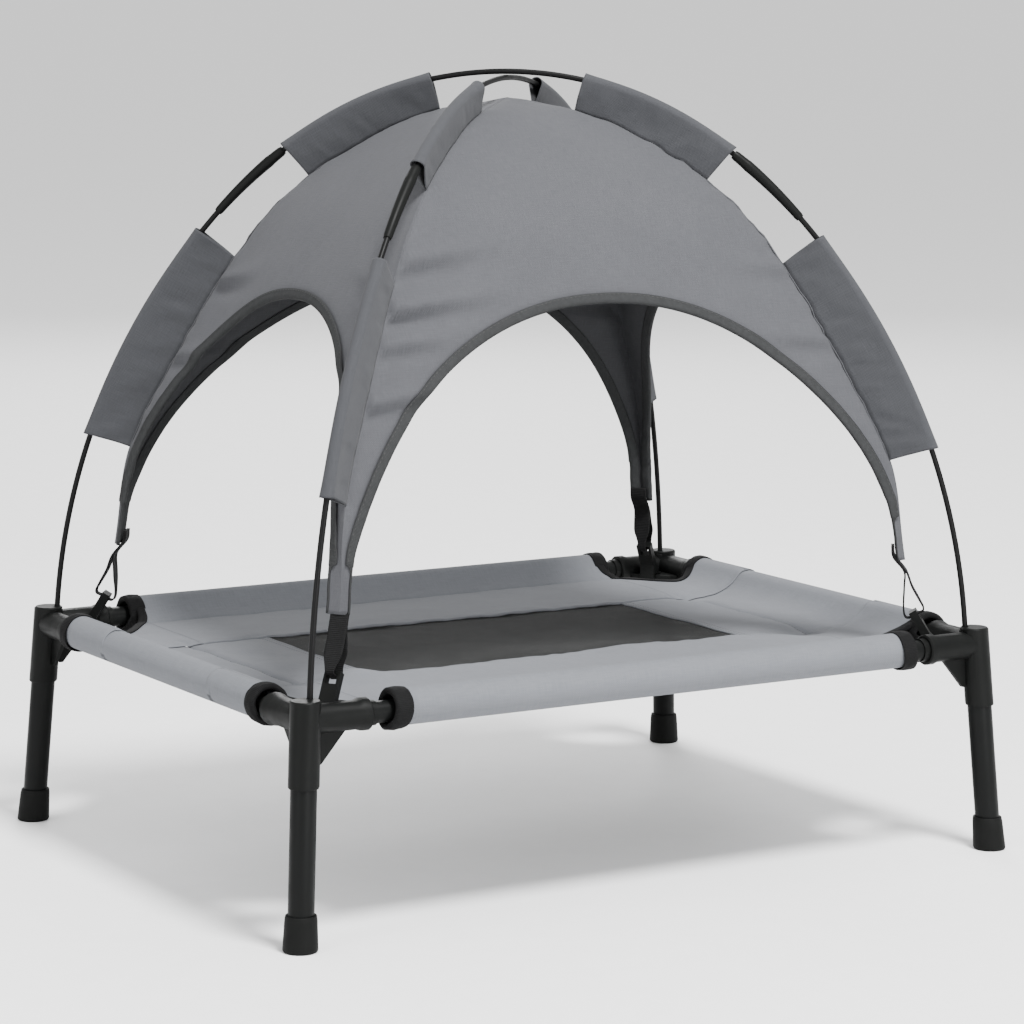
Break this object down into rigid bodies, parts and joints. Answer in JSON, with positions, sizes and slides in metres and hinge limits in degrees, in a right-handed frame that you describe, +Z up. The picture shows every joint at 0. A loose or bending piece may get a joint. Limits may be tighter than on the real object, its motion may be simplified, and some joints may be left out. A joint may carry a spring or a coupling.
{
  "type": "raised dog bed with canopy",
  "caption": "Raised pet bed: splayed legs, tube frame, fabric sling with a mesh middle, and a domed fabric canopy with arched doorways on crossed poles.",
  "frame": {"origin": "on the floor, under the middle of the bed", "axes": "+Z up, +X along the long side, -Y towards the front"},
  "size_m": [0.6374, 0.4922, 0.6077],
  "materials": {
    "black_plastic": "moulded black plastic, satin, fine grain",
    "painted_steel": "black powder coat, satin",
    "foot_rubber": "black rubber, matt",
    "pole_rod": "thin black pole, satin",
    "canopy_fabric": "grey woven oxford cloth, matt",
    "bed_fabric": "light grey woven oxford cloth, matt",
    "mesh_fabric": "black open mesh",
    "black_tape": "black binding tape, fine rib",
    "door_tape": "dark grey binding tape",
    "webbing": "black woven webbing"
  },
  "bodies": {
    "frame": {"connector_front_left": "black_plastic", "connector_front_right": "black_plastic", "connector_back_left": "black_plastic", "connector_back_right": "black_plastic", "tube_front": "painted_steel", "tube_back": "painted_steel", "tube_left": "painted_steel", "tube_right": "painted_steel", "border_front": "bed_fabric", "border_back": "bed_fabric", "border_left": "bed_fabric", "border_right": "bed_fabric", "mesh_panel": "mesh_fabric", "binding_front_left": "black_tape", "binding_front_right": "black_tape", "binding_back_left": "black_tape", "binding_back_right": "black_tape"},
    "canopy": {"rod_front_left": "pole_rod", "rod_front_right": "pole_rod", "rod_back_left": "pole_rod", "rod_back_right": "pole_rod", "top_rod_upper": "pole_rod", "top_rod_lower": "pole_rod", "ferrule_front_left": "black_plastic", "ferrule_front_right": "black_plastic", "ferrule_back_left": "black_plastic", "ferrule_back_right": "black_plastic", "lower_sleeve_front_left": "canopy_fabric", "lower_sleeve_front_right": "canopy_fabric", "lower_sleeve_back_left": "canopy_fabric", "lower_sleeve_back_right": "canopy_fabric", "upper_sleeve_front_left": "canopy_fabric", "upper_sleeve_front_right": "canopy_fabric", "upper_sleeve_back_left": "canopy_fabric", "upper_sleeve_back_right": "canopy_fabric", "canopy_panel_front": "canopy_fabric", "canopy_panel_back": "canopy_fabric", "canopy_panel_left": "canopy_fabric", "canopy_panel_right": "canopy_fabric", "door_tape_front": "door_tape", "door_tape_back": "door_tape", "door_tape_left": "door_tape", "door_tape_right": "door_tape", "webbing_front_left": "webbing", "webbing_front_right": "webbing", "webbing_back_left": "webbing", "webbing_back_right": "webbing"},
    "hook_front_left": {"hook_front_left": "black_plastic"},
    "hook_front_right": {"hook_front_right": "black_plastic"},
    "hook_back_left": {"hook_back_left": "black_plastic"},
    "hook_back_right": {"hook_back_right": "black_plastic"},
    "leg_front_left": {"leg_front_left": "painted_steel", "foot_front_left": "foot_rubber"},
    "leg_front_right": {"leg_front_right": "painted_steel", "foot_front_right": "foot_rubber"},
    "leg_back_left": {"leg_back_left": "painted_steel", "foot_back_left": "foot_rubber"},
    "leg_back_right": {"leg_back_right": "painted_steel", "foot_back_right": "foot_rubber"}
  },
  "joints": [
    {"name": "canopy_lift", "type": "slide", "parent": "frame", "child": "canopy", "axis": [0, 0, 1], "range_m": [0, 0.12]},
    {"name": "hook_front_left_swing", "type": "hinge", "parent": "canopy", "child": "hook_front_left", "pos_m": [-0.26737, -0.201, 0.1575], "axis": [0.6009, -0.7993, 0], "range_deg": [-5, 5]},
    {"name": "hook_front_right_swing", "type": "hinge", "parent": "canopy", "child": "hook_front_right", "pos_m": [0.26737, -0.201, 0.1575], "axis": [0.6009, 0.7993, 0], "range_deg": [-5, 5]},
    {"name": "hook_back_left_swing", "type": "hinge", "parent": "canopy", "child": "hook_back_left", "pos_m": [-0.26737, 0.201, 0.1575], "axis": [-0.6009, -0.7993, 0], "range_deg": [-5, 5]},
    {"name": "hook_back_right_swing", "type": "hinge", "parent": "canopy", "child": "hook_back_right", "pos_m": [0.26737, 0.201, 0.1575], "axis": [-0.6009, 0.7993, 0], "range_deg": [-5, 5]},
    {"name": "leg_front_left_pull", "type": "slide", "parent": "frame", "child": "leg_front_left", "axis": [-0.0626, -0.066, -0.9959], "range_m": [0, 0.035]},
    {"name": "leg_front_right_pull", "type": "slide", "parent": "frame", "child": "leg_front_right", "axis": [0.0626, -0.066, -0.9959], "range_m": [0, 0.035]},
    {"name": "leg_back_left_pull", "type": "slide", "parent": "frame", "child": "leg_back_left", "axis": [-0.0626, 0.066, -0.9959], "range_m": [0, 0.035]},
    {"name": "leg_back_right_pull", "type": "slide", "parent": "frame", "child": "leg_back_right", "axis": [0.0626, 0.066, -0.9959], "range_m": [0, 0.035]}
  ]
}
